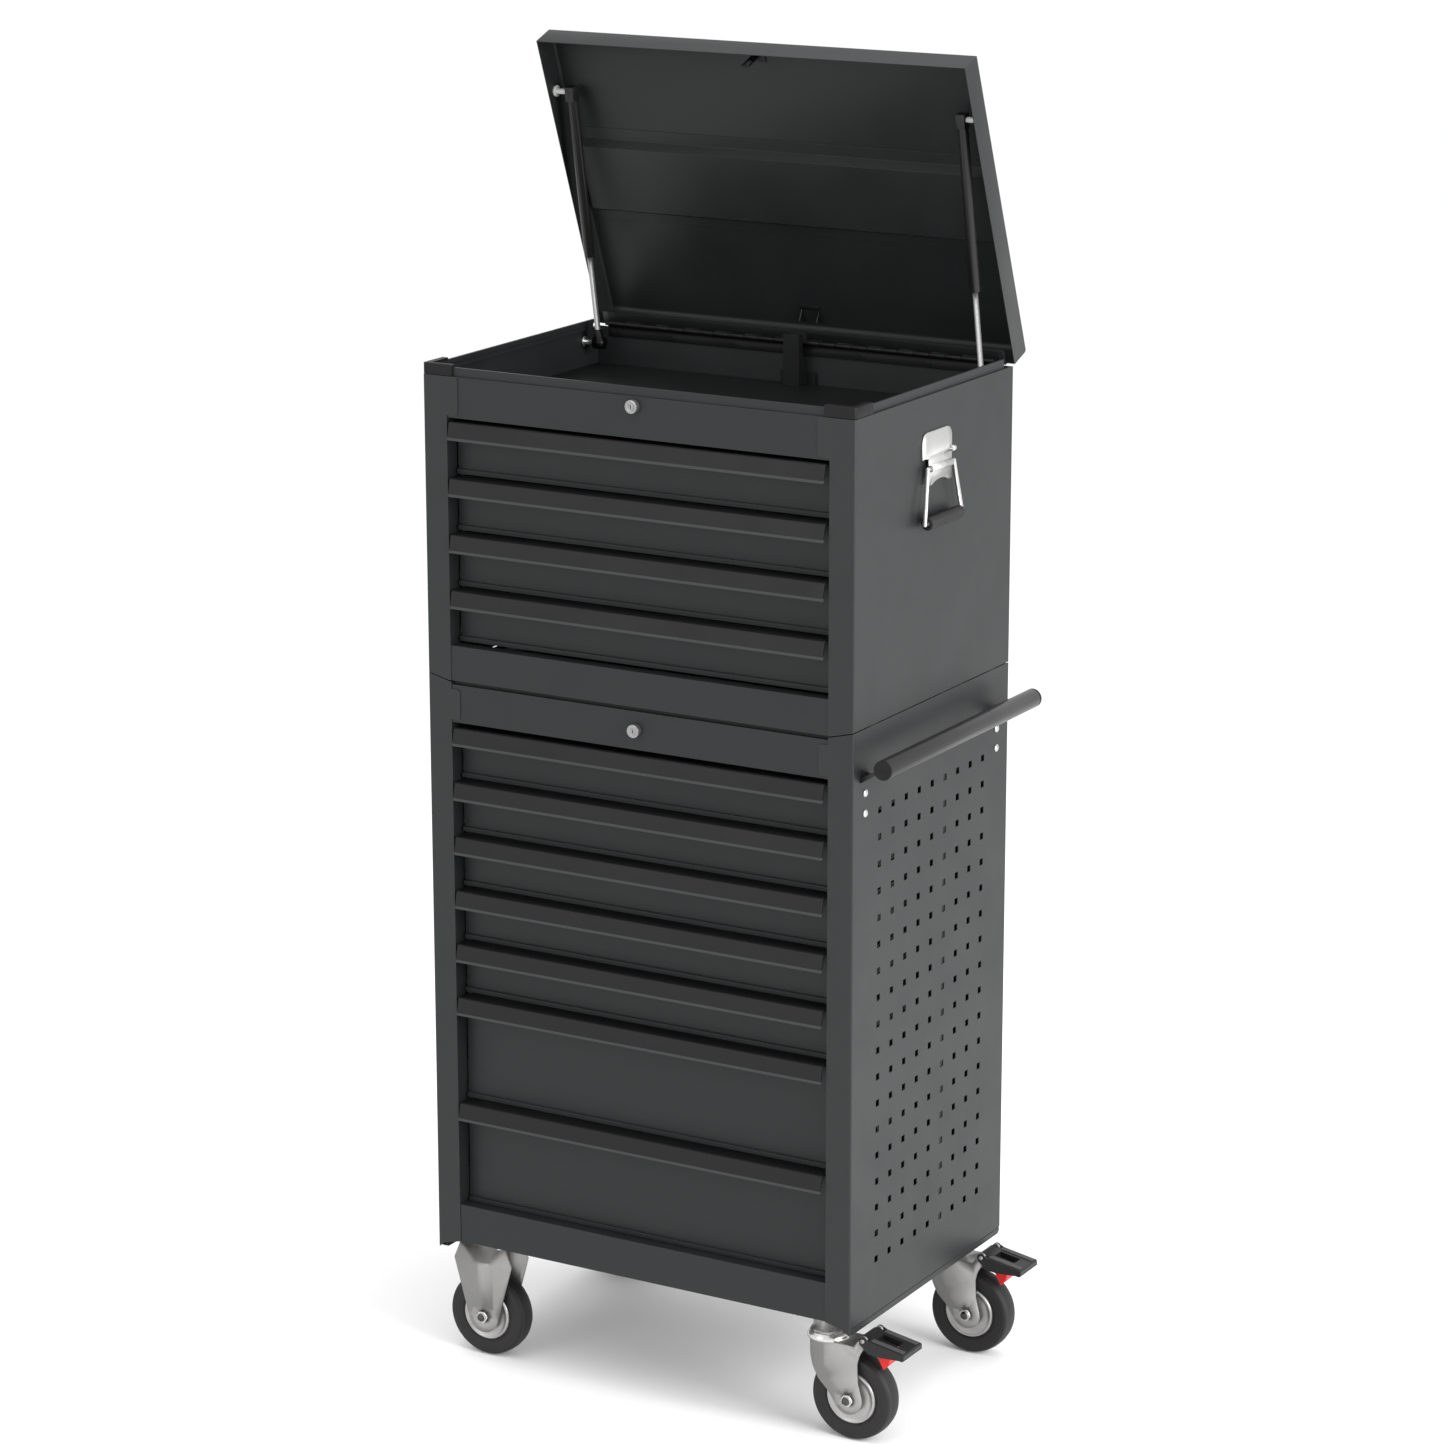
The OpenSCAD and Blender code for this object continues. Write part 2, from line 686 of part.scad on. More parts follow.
module push_handle_brackets() {
  color([0.17, 0.17, 0.17]) place() for (s = [-1, 1])
    difference() {
      xz(s * pb_y - 14, s * pb_y + 14) polygon([
        [hi - 3.5, z_cab - 56], [hi - 0.05, z_cab - 56], [hi - 0.05, z_cab + 2.7],
        [hw + 0.6, z_cab + 3.1], [pt_x - 3, pt_z - 3.8], [pt_x - 5, pt_z + 0.2],
        [hw - 0.5, z_cab + 9.2], [hi - 3.5, z_cab + 6]]);
      rody(s * pb_y - 20, s * pb_y + 20, pt_x, pt_z, tube_d / 2);
    }
}

module dome_screw(y, z) {
  translate([hw, y, z]) rotate([0, 90, 0]) rotate_extrude()
    polygon([[0, 0], [5.75, 0], [5.55, 0.8], [4.9, 1.6], [3.8, 2.35],
             [2.4, 2.85], [1.2, 3.05], [0, 3.1]]);
  rodx(hi - 9, hi - 3.5, y, z, 3);
}

module dome_screws() {
  color([0.14, 0.14, 0.14]) place()
    for (s = [-1, 1], z = [z_cab - 14, z_cab - 42.3]) dome_screw(s * pb_y, z);
}

module bail_plates() {
  color([0.69, 0.69, 0.68]) place() both() {
    // plate flat on the side panel, upper corners rounded
    translate([hw, 0, 0]) yz(0, 2) {
      translate([-42.5, hb_z + 12.5]) square([85, 20.8]);
      translate([-27.5, hb_z + 30]) square([55, 18.3]);
      for (s = [-1, 1]) translate([s * 27.5, hb_z + 33.3]) circle(15);
    }
    // step out to the barrel, foot with a shallow arch
    box([hw + 2, -33, hb_z + 12.5], [hw + 6.8, 33, hb_z + 14.5]);
    difference() {
      translate([hw, 0, 0]) yz(5.3, 6.8) difference() {
        translate([-33, hb_z - 23]) square([66, 36]);
        translate([0, hb_z - 77.1]) circle(59.6, $fn = 128);
      }
      rody(-40, 40, hb_x, hb_z, 4);
    }
    // rolled barrel
    difference() {
      rody(-30, 30, hb_x, hb_z, 5);
      rody(-31, 31, hb_x, hb_z, 3.12);
    }
    // rolled stop beside the step
    rody(34, 42, hw + 6, hb_z + 17, 4);
    box([hw + 2, 34, hb_z + 15], [hw + 6, 42, hb_z + 19]);
  }
}

module bail() {
  union() {
    rody(-38, 38, hb_x, hb_z, 3.05);
    for (s = [-1, 1]) mirror([0, s < 0 ? 1 : 0, 0]) {
      translate([hb_x, 38, hb_z]) sphere(3.25);
      // leg from the pivot bar to the grip bar
      translate([hb_x, 38, hb_z]) rotate([0, 0, atan2(16, 5)])
        rotate([0, 180 - atan2(sqrt(16 * 16 + 25), 72), 0])
          cylinder(h = sqrt(16 * 16 + 25 + 72 * 72), r = 3.05);
      translate([hb_x + 5, 54, hb_z - 72]) sphere(3.25);
    }
    rody(-54, 54, hb_x + 5, hb_z - 72, 3.05);
  }
}

module bail_right() { color([0.62, 0.62, 0.61]) place() bail(); }
module bail_left() { color([0.62, 0.62, 0.61]) place() mirror([1, 0, 0]) bail(); }

module grip() {
  difference() {
    rody(-47, 47, hb_x + 5, hb_z - 72, grip_d / 2);
    rody(-48, 48, hb_x + 5, hb_z - 72, 3.08);
    for (i = [-9 : 9]) translate([hb_x + 5, i * 4.6, hb_z - 72]) rotate([90, 0, 0])
      rotate_extrude() translate([grip_d / 2 + 0.6, 0]) circle(1.1);
  }
}

module grip_right() { color([0.07, 0.07, 0.07]) place() grip(); }
module grip_left() { color([0.07, 0.07, 0.07]) place() mirror([1, 0, 0]) grip(); }

// ---------------------------------------------------------------- casters

module caster_plate(sx, sy) {
  translate([sx * cx, sy * cy, 0]) {
    difference() {
      box([-44, -38, z_base + 11.5], [44, 38, z_base + 15]);
      for (a = [-1, 1], b = [-1, 1])
        translate([a * 36, b * 31, z_base]) cylinder(h = 20, r = 4.2);
    }
    // bolts up into the bottom panel
    for (a = [-1, 1], b = [-1, 1]) translate([a * 36, b * 31, z_base]) {
      translate([0, 0, 8]) cylinder(h = 3.45, r = 6, $fn = 6);
      translate([0, 0, 11.4]) cylinder(h = 3.6, r = 4);
    }
  }
}

module caster_plates() {
  color([0.66, 0.66, 0.66]) place() {
    for (sx = [-1, 1], sy = [-1, 1]) caster_plate(sx, sy);
    // upper race and king pin of the swivel casters
    for (sy = [-1, 1]) translate([cx, sy * cy, 0]) {
      translate([0, 0, 155]) cylinder(h = z_base + 11.5 - 155, r = 22);
      translate([0, 0, 139]) cylinder(h = 16, r = 7);
      translate([0, 0, 135]) cylinder(h = 4, r = 11);
    }
  }
}

// axle bolt with a hexagonal head and nut outside the fork plates
module axle(x) {
  rody(-31, 31, x, wr, 5.9);
  for (s = [-1, 1]) difference() {
    translate([x, s > 0 ? 28.7 : -24.05, wr]) rotate([90, 0, 0])
      cylinder(h = 4.65, r = 9, $fn = 6);
    rody(-32, 32, x, wr, 5.95);
  }
}

module fixed_fork() {
  difference() {
    union() {
      for (s = [-1, 1]) xz(s > 0 ? 21 : -24, s > 0 ? 24 : -21) union() {
        polygon([[-35, z_base + 11.5], [35, z_base + 11.5], [39.5, z_base],
                 [48.75, 146], [25.5, 62.5], [-25.5, 62.5], [-48.75, 146],
                 [-39.5, z_base]]);
        translate([0, wr]) circle(24.6);
      }
      box([-35, -21, z_base + 8.5], [35, 21, z_base + 11.5]);
    }
    rody(-30, 30, 0, wr, 5.95);
  }
  // pressed rib on each plate
  for (s = [-1, 1]) xz(s > 0 ? 24 : -26.5, s > 0 ? 26.5 : -24)
    difference() {
      union() {
        translate([-17, 76]) square([34, 66]);
        translate([-11, 76]) square([22, 72]);
        translate([-11, 142]) circle(6);
        translate([11, 142]) circle(6);
      }
    }
}

module fixed_forks() {
  color([0.68, 0.68, 0.68]) place() for (sy = [-1, 1]) translate([-cx, sy * cy, 0]) {
    fixed_fork();
    axle(0);
  }
}

module fork_side() {
  // side plate, x from the swivel axis
  polygon([[-22, 143], [-27, 137], [-23, 120], [-15, 103], [-4, 86], [12, 70],
    [24, 52], [43, 62.5], [63.5, 68], [58, 90], [57, 118], [60, 130],
    [70.5, 150.5], [62, 158.5], [52, 143]]);
  translate([trail, wr]) circle(21.5);
  translate([pv_x, pv_z]) circle(6);
}

// outline of the fork seen from above
module fork_plan(r, z0, z1) {
  translate([0, 0, z0]) linear_extrude(height = z1 - z0) {
    translate([-3, 0]) circle(r);
    translate([-3, -r]) square([84, 2 * r]);
  }
}

module swivel_fork() {
  difference() {
    union() {
      // side plates joined by a rounded front wall and the crown
      intersection() {
        union() {
          difference() {
            fork_plan(24, 30, 170);
            fork_plan(21, 29, 171);
          }
          translate([0, 0, 139.5]) linear_extrude(height = 3.5) {
            translate([-3, 0]) circle(22);
            translate([-3, -22]) square([53, 44]);
          }
        }
        xz(-25, 25) fork_side();
      }
      // race
      translate([0, 0, 143]) cylinder(h = 3.5, r = 30.5);
      translate([0, 0, 146.5]) cylinder(h = 7.9, r1 = 30.5, r2 = 25);
    }
    translate([0, 0, 130]) cylinder(h = 30, r = 7.08);
    rody(-30, 30, trail, wr, 5.95);
    rody(-30, 30, pv_x, pv_z, 3.03);
  }
  axle(trail);
  // pedal pivot pin
  rody(-28, 28, pv_x, pv_z, 3);
}

module swivel_fork_front() { color([0.68, 0.68, 0.68]) place() translate([cx, -cy, 0]) swivel_fork(); }
module swivel_fork_rear() { color([0.68, 0.68, 0.68]) place() translate([cx, cy, 0]) swivel_fork(); }

module brake_pedal() {
  sl = atan2(11, 65);
  difference() {
    union() {
      // pad
      xz(-27, 27) polygon([[76, 157], [130, 147.7], [131.5, 146], [131.6, 139.5],
        [128, 138], [76, 149]]);
      // inner root between the fork ears
      xz(-20.5, 20.5) polygon([[60, 158.5], [64, 159.5], [77, 157], [77, 149], [62, 150]]);
      // side skirts reaching back to the pivot
      for (s = [-1, 1]) xz(s > 0 ? 24.2 : -27, s > 0 ? 27 : -24.2) union() {
        polygon([[67, 161.5], [78, 156.8], [128, 147], [128, 139], [92, 137],
                 [76, 139], [62, 151]]);
        translate([pv_x, pv_z]) circle(6);
      }
    }
    // window
    box([81, -9.5, 130], [113, 9.5, 170]);
    rody(-28.5, 28.5, pv_x, pv_z, 3.07);
  }
  // serrated rails on both edges of the pad
  for (s = [-1, 1], i = [0 : 17]) translate([79 + i * 2.8, s * 19.5, 156.55 - i * 2.8 * 0.1722])
    rotate([0, sl, 0]) box([0, -4.5, -0.4], [1.5, 4.5, 1.3]);
  // release tab under the pad
  xz(-11, 11) polygon([[80, 148.6], [81, 133], [92, 113], [100, 121], [104, 143.6]]);
}

module brake_pedal_front() { color([0.08, 0.08, 0.08]) place() translate([cx, -cy, 0]) brake_pedal(); }
module brake_pedal_rear() { color([0.08, 0.08, 0.08]) place() translate([cx, cy, 0]) brake_pedal(); }

// tyre and hub about the Y axis
module wheel() {
  w = wheel_w / 2;
  rotate([90, 0, 0]) {
    rotate_extrude() polygon([[wr - 23.95, -w + 2], [wr - 8, -w - 0.4], [wr - 3.2, -w],
      [wr - 1.2, -w + 4], [wr, -4], [wr, 4], [wr - 1.2, w - 4], [wr - 3.2, w],
      [wr - 8, w + 0.4], [wr - 23.95, w - 2]]);
    rotate_extrude() polygon([[5.96, -19.5], [13, -19.5], [14, -15.6],
      [33, -14.6], [34.6, -16.6], [36.4, -16.6], [wr - 24, -13], [wr - 24, 13],
      [36.4, 16.6], [34.6, 16.6], [33, 14.6], [14, 15.6], [13, 19.5], [5.96, 19.5]]);
  }
}

module wheel_swivel_front() { color([0.16, 0.16, 0.16]) place() translate([cx + trail, -cy, wr]) wheel(); }
module wheel_swivel_rear() { color([0.16, 0.16, 0.16]) place() translate([cx + trail, cy, wr]) wheel(); }
module wheel_fixed_front() { color([0.16, 0.16, 0.16]) place() translate([-cx, -cy, wr]) wheel(); }
module wheel_fixed_rear() { color([0.16, 0.16, 0.16]) place() translate([-cx, cy, wr]) wheel(); }

// ---------------------------------------------------------------- drawing

cab_side_panels();
cab_back_panel();
cab_bottom_panel();
cab_top_panel();
cab_front_rails();
cab_base_rails();
cab_uprights();
cab_slide_rails();
chest_side_panels();
chest_back_panel();
chest_bottom_panel();
chest_tray_floor();
chest_front_rails();
chest_slide_rails();
chest_uprights();
chest_rim();
rim_corner_caps();
chest_hinge_leaf();
lock_bar_channel();
strut_studs();
push_handle_tube();
push_tube_caps();
push_handle_brackets();
dome_screws();
bail_plates();
fixed_forks();
caster_plates();
lock_housings();
lid_shell();
lid_stiffener();
lid_hinge_leaf();
lid_fittings();
strut_rods();
strut_cylinders();
chest_drawer_1();
chest_drawer_2();
chest_drawer_3();
chest_drawer_4();
cab_drawer_1();
cab_drawer_2();
cab_drawer_3();
cab_drawer_4();
cab_drawer_5();
cab_drawer_6();
cab_drawer_7();
chest_lock_core();
cab_lock_core();
bail_right();
bail_left();
grip_right();
grip_left();
swivel_fork_front();
swivel_fork_rear();
brake_pedal_front();
brake_pedal_rear();
wheel_swivel_front();
wheel_swivel_rear();
wheel_fixed_front();
wheel_fixed_rear();
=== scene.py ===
import bpy, bmesh, math, random
from mathutils import Vector, Matrix

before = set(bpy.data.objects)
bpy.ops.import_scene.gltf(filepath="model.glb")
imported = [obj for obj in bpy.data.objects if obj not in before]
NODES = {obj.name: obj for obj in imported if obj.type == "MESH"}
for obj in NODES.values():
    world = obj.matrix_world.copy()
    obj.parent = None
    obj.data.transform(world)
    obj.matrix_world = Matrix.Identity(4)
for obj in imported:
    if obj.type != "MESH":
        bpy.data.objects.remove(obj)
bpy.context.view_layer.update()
random.seed(7)

# ------------------------------------------------------------------ sizes
OX, OY = -25.8, -16.2324
HW, HD, T = 338.65, 228.0, 1.2
P = 79.27
Z_OPEN = 237.6
Z_CAB = Z_OPEN + 9 * P
Z_CH0 = Z_CAB + 67.5
Z_ST = Z_CH0 + 50.5
Z_CHS = Z_ST + 4 * P
Z_TOP = Z_CHS + 62.5
Z_RIM = Z_TOP + 12.5
Z_TRAY = Z_CHS + 6.4
CX, CY, TRAIL, WR = HW - 58.65, HD - 49, 43.0, 62.5


def V(x, y, z):
    """a point given in the body's own millimetres, as metres in the frame"""
    return Vector(((x + OX) / 1000, (y + OY) / 1000, z / 1000))


# ------------------------------------------------------------------ materials
def nt(mat):
    return mat.node_tree.nodes, mat.node_tree.links


def new_mat(name):
    m = bpy.data.materials.new(name)
    m.use_nodes = True
    n, l = nt(m)
    n.clear()
    out = n.new("ShaderNodeOutputMaterial")
    bs = n.new("ShaderNodeBsdfPrincipled")
    l.new(bs.outputs[0], out.inputs[0])
    tc = n.new("ShaderNodeTexCoord")
    return m, n, l, bs, tc


def noise(n, l, tc, scale, detail=4.0, rough=0.55, stretch=None):
    tx = n.new("ShaderNodeTexNoise")
    tx.inputs["Scale"].default_value = scale
    tx.inputs["Detail"].default_value = detail
    tx.inputs["Roughness"].default_value = rough
    if stretch:
        mp = n.new("ShaderNodeMapping")
        mp.inputs["Scale"].default_value = stretch
        l.new(tc.outputs["Object"], mp.inputs[0])
        l.new(mp.outputs[0], tx.inputs["Vector"])
    else:
        l.new(tc.outputs["Object"], tx.inputs["Vector"])
    return tx


def ramp(n, l, src, lo, hi, a, b):
    r = n.new("ShaderNodeMapRange")
    r.inputs["From Min"].default_value = lo
    r.inputs["From Max"].default_value = hi
    r.inputs["To Min"].default_value = a
    r.inputs["To Max"].default_value = b
    l.new(src, r.inputs["Value"])
    return r.outputs[0]


def mixc(n, l, fac, a, b):
    m = n.new("ShaderNodeMix")
    m.data_type = "RGBA"
    for sock, v in ((6, a), (7, b)):
        if isinstance(v, (tuple, list)):
            m.inputs[sock].default_value = (*v[:3], 1)
        else:
            l.new(v, m.inputs[sock])
    if isinstance(fac, (int, float)):
        m.inputs[0].default_value = fac
    else:
        l.new(fac, m.inputs[0])
    return m.outputs[2]


def edge_mask(n, l, radius=0.0016, lo=0.02, hi=0.25):
    """bright on edges: how far a softened normal turns from the true one"""
    bv = n.new("ShaderNodeBevel")
    bv.samples = 4
    bv.inputs["Radius"].default_value = radius
    ge = n.new("ShaderNodeNewGeometry")
    d = n.new("ShaderNodeVectorMath")
    d.operation = "DOT_PRODUCT"
    l.new(bv.outputs[0], d.inputs[0])
    l.new(ge.outputs["Normal"], d.inputs[1])
    s = n.new("ShaderNodeMath")
    s.operation = "SUBTRACT"
    s.inputs[0].default_value = 1.0
    l.new(d.outputs["Value"], s.inputs[1])
    return ramp(n, l, s.outputs[0], lo, hi, 0.0, 1.0)


def bump(n, l, bs, height, strength, dist=0.0004, prev=None):
    b = n.new("ShaderNodeBump")
    b.inputs["Strength"].default_value = strength
    b.inputs["Distance"].default_value = dist
    l.new(height, b.inputs["Height"])
    if prev:
        l.new(prev, b.inputs["Normal"])
    l.new(b.outputs[0], bs.inputs["Normal"])
    return b.outputs[0]


def powder(name, col, rough=0.42, grain=0.16, edge=0.35, spec=0.45, coat=0.0, zones=None):
    """powder coat: orange-peel bump, slight mottling, rubbed edges"""
    m, n, l, bs, tc = new_mat(name)
    big = noise(n, l, tc, 9.0, 3.0)
    fine = noise(n, l, tc, 900.0, 3.0, 0.6)
    peel = noise(n, l, tc, 330.0, 2.0, 0.4)
    c1 = mixc(n, l, ramp(n, l, big.outputs[0], 0.3, 0.7, 0.0, 1.0),
              [v * 0.92 for v in col], [v * 1.08 for v in col])
    c2 = mixc(n, l, ramp(n, l, fine.outputs[0], 0.35, 0.65, 0.0, 1.0),
              [v * 0.80 for v in col], c1)
    mm = n.new("ShaderNodeMix")
    mm.data_type = "RGBA"
    mm.inputs[0].default_value = 0.45
    l.new(c1, mm.inputs[6])
    l.new(c2, mm.inputs[7])
    cur = mm.outputs[2]
    if zones:
        cur = zones(n, l, tc, cur)
    if edge:
        wear = noise(n, l, tc, 60.0, 4.0)
        e = edge_mask(n, l)
        k = n.new("ShaderNodeMath")
        k.operation = "MULTIPLY"
        l.new(e, k.inputs[0])
        l.new(ramp(n, l, wear.outputs[0], 0.3, 0.75, 0.35 * edge, edge), k.inputs[1])
        cur = mixc(n, l, k.outputs[0], cur, [min(1, v * 2.6 + 0.02) for v in col])
    l.new(cur, bs.inputs["Base Color"])
    l.new(ramp(n, l, big.outputs[0], 0.3, 0.7, rough - 0.05, rough + 0.06), bs.inputs["Roughness"])
    bs.inputs["Specular IOR Level"].default_value = spec
    if coat:
        bs.inputs["Coat Weight"].default_value = coat
        bs.inputs["Coat Roughness"].default_value = 0.2
    nrm = bump(n, l, bs, peel.outputs[0], grain, 0.0005)
    bump(n, l, bs, fine.outputs[0], grain * 0.6, 0.00025, nrm)
    return m


def zinc(name, col=(0.55, 0.55, 0.54), rough=0.36, stretch=(1, 1, 1), spangle=1.0, zones=None):
    m, n, l, bs, tc = new_mat(name)
    big = noise(n, l, tc, 22.0, 4.0)
    fine = noise(n, l, tc, 240.0, 3.0, 0.6, stretch)
    vor = n.new("ShaderNodeTexVoronoi")
    vor.inputs["Scale"].default_value = 130.0
    l.new(tc.outputs["Object"], vor.inputs["Vector"])
    c = mixc(n, l, ramp(n, l, big.outputs[0], 0.3, 0.7, 0, 1),
             [v * 0.93 for v in col], [min(1, v * 1.05) for v in col])
    c = mixc(n, l, ramp(n, l, vor.outputs[0], 0.0, 0.9, 0.0, 0.10 * spangle), c,
             [min(1, v * 1.2) for v in col])
    c = mixc(n, l, ramp(n, l, fine.outputs[0], 0.45, 0.8, 0.0, 0.15), c, [v * 0.7 for v in col])
    rg = ramp(n, l, big.outputs[0], 0.3, 0.7, rough - 0.03, rough + 0.04)
    if zones:
        c, rg = zones(n, l, tc, c, rg)
    l.new(c, bs.inputs["Base Color"])
    bs.inputs["Metallic"].default_value = 0.85
    l.new(rg, bs.inputs["Roughness"])
    bump(n, l, bs, fine.outputs[0], 0.06, 0.0003)
    return m


def plastic(name, col, rough=0.5, grain=0.25, scale=1400.0, spec=0.5):
    m, n, l, bs, tc = new_mat(name)
    fine = noise(n, l, tc, scale, 2.0, 0.5)
    big = noise(n, l, tc, 30.0, 3.0)
    c = mixc(n, l, ramp(n, l, big.outputs[0], 0.3, 0.7, 0, 1),
             [v * 0.85 for v in col], [v * 1.15 for v in col])
    e = edge_mask(n, l, 0.001)
    k = n.new("ShaderNodeMath")
    k.operation = "MULTIPLY"
    k.inputs[1].default_value = 0.3
    l.new(e, k.inputs[0])
    c = mixc(n, l, k.outputs[0], c, [v * 2.4 + 0.01 for v in col])
    l.new(c, bs.inputs["Base Color"])
    l.new(ramp(n, l, fine.outputs[0], 0.3, 0.7, rough - 0.06, rough + 0.08), bs.inputs["Roughness"])
    bs.inputs["Specular IOR Level"].default_value = spec
    bump(n, l, bs, fine.outputs[0], grain, 0.0003)
    return m


def rubber(name, col=(0.035, 0.035, 0.036), rough=0.62):
    m, n, l, bs, tc = new_mat(name)
    big = noise(n, l, tc, 45.0, 5.0, 0.6)
    fine = noise(n, l, tc, 700.0, 3.0)
    c = mixc(n, l, ramp(n, l, big.outputs[0], 0.35, 0.7, 0, 1),
             [v * 0.85 for v in col], [v * 1.35 + 0.004 for v in col])
    l.new(c, bs.inputs["Base Color"])
    l.new(ramp(n, l, big.outputs[0], 0.3, 0.7, rough - 0.08, rough + 0.1), bs.inputs["Roughness"])
    bump(n, l, bs, fine.outputs[0], 0.25, 0.0003)
    return m


BODY = (0.0160, 0.0172, 0.0177)
FRONT = (0.0150, 0.0162, 0.0168)
PULL = (0.0045, 0.0046, 0.0046)
# painted shade: a much darker copy of the body paint for parts in recesses, gaps and behind the lid
INNER_SHADE = (0.0058, 0.0062, 0.0063)
M = {}
M["body"] = powder("body_paint", BODY, 0.42, spec=0.3)
M["front"] = powder("front_paint", (0.0163, 0.0176, 0.0182), 0.44, spec=0.25)
M["inner"] = powder("inner_paint", INNER_SHADE, 0.5, edge=0.2, spec=0.22)
# painted shade: lid_paint, used on the stiffener inside the lid, is a darker copy of the body paint
M["lid"] = powder("lid_paint", (0.0135, 0.0142, 0.0146), 0.42, spec=0.25)
M["handle"] = powder("handle_paint", (0.0125, 0.0125, 0.0128), 0.34, edge=0.25, spec=0.35)
M["strut"] = powder("strut_paint", (0.0080, 0.0078, 0.0076), 0.36, edge=0.2, spec=0.3)
M["zinc"] = zinc("zinc", (0.315, 0.312, 0.306), 0.42)
M["plate"] = zinc("bail_plate_zinc", (0.50, 0.50, 0.49), 0.34)
M["bail"] = zinc("bail_bright", (0.55, 0.55, 0.54), 0.24, spangle=0.2)
M["screw"] = zinc("screw_plating", (0.50, 0.50, 0.49), 0.28, spangle=0.2)
M["slide"] = zinc("slide_steel", (0.35, 0.35, 0.35), 0.34)
M["bright"] = zinc("bright_steel", (0.40, 0.40, 0.405), 0.26, spangle=0.2)
M["lock"] = zinc("lock_plating", (0.30, 0.30, 0.305), 0.3, spangle=0.2)
M["black"] = plastic("black_plastic", (0.0070, 0.0070, 0.0072), spec=0.18)
M["grip"] = plastic("grip_plastic", (0.0060, 0.0060, 0.0062), 0.5, spec=0.35)


# ---- masks from object coordinates
def xyz(n, l, tc):
    sp = n.new("ShaderNodeSeparateXYZ")
    l.new(tc.outputs["Object"], sp.inputs[0])
    return sp.outputs


def op(n, l, kind, a, b=None):
    m = n.new("ShaderNodeMath")
    m.operation = kind
    for k, v in enumerate((a, b)):
        if v is None:
            continue
        if isinstance(v, (int, float)):
            m.inputs[k].default_value = v
        else:
            l.new(v, m.inputs[k])
    return m.outputs[0]


def allof(n, l, *ms):
    cur = ms[0]
    for m in ms[1:]:
        cur = op(n, l, "MULTIPLY", cur, m)
    return cur


# drawers: the pull is a little darker than the front sheet, its lip lighter
def drawer_mat(name, top):
    def zones(n, l, tc, cur):
        sp = xyz(n, l, tc)
        pull = op(n, l, "LESS_THAN", sp["Y"], (-209.2 + OY) / 1000)
        cur = mixc(n, l, pull, cur, PULL)
        lip = allof(n, l, op(n, l, "LESS_THAN", sp["Z"], (top - 21.2) / 1000),
                    op(n, l, "LESS_THAN", sp["Y"], (-232.4 + OY) / 1000))
        cur = mixc(n, l, lip, cur, (0.034, 0.0355, 0.036))
        # slide members on the sides are bare steel
        ax = op(n, l, "ABSOLUTE", op(n, l, "SUBTRACT", sp["X"], OX / 1000))
        side = allof(n, l, op(n, l, "GREATER_THAN", ax, 0.29053),
                     op(n, l, "GREATER_THAN", sp["Y"], (-203.5 + OY) / 1000))
        return mixc(n, l, side, cur, (0.30, 0.30, 0.30))
    return powder(name, FRONT, 0.44, spec=0.25, zones=zones)


def lid_mat():
    """painted light and shade: a darker copy of the paint inside the lid, a lighter copy on its outer faces"""
    def zones(n, l, tc, cur):
        sp = xyz(n, l, tc)
        dy = op(n, l, "SUBTRACT", sp["Y"], (HD - 9 + OY) / 1000)
        dz = op(n, l, "SUBTRACT", sp["Z"], (Z_TOP + 6) / 1000)
        s_ = op(n, l, "SUBTRACT", op(n, l, "MULTIPLY", dy, 0.35837), op(n, l, "MULTIPLY", dz, 0.93358))
        m_ = op(n, l, "ADD", op(n, l, "MULTIPLY", dy, 0.93358), op(n, l, "MULTIPLY", dz, 0.35837))
        ax = op(n, l, "ABSOLUTE", op(n, l, "SUBTRACT", sp["X"], OX / 1000))
        out = op(n, l, "MAXIMUM", op(n, l, "LESS_THAN", s_, -0.4456),
                 op(n, l, "MAXIMUM", op(n, l, "GREATER_THAN", m_, 0.0520),
                    op(n, l, "GREATER_THAN", ax, (HW - 0.4) / 1000)))
        # painted light: the outer faces are lighter than the body paint, the inside darker
        return mixc(n, l, out, cur, (0.0215, 0.0228, 0.0233))
    return powder("lid_paint_light_and_shade", (0.0125, 0.0133, 0.0137), 0.42, spec=0.25, zones=zones)


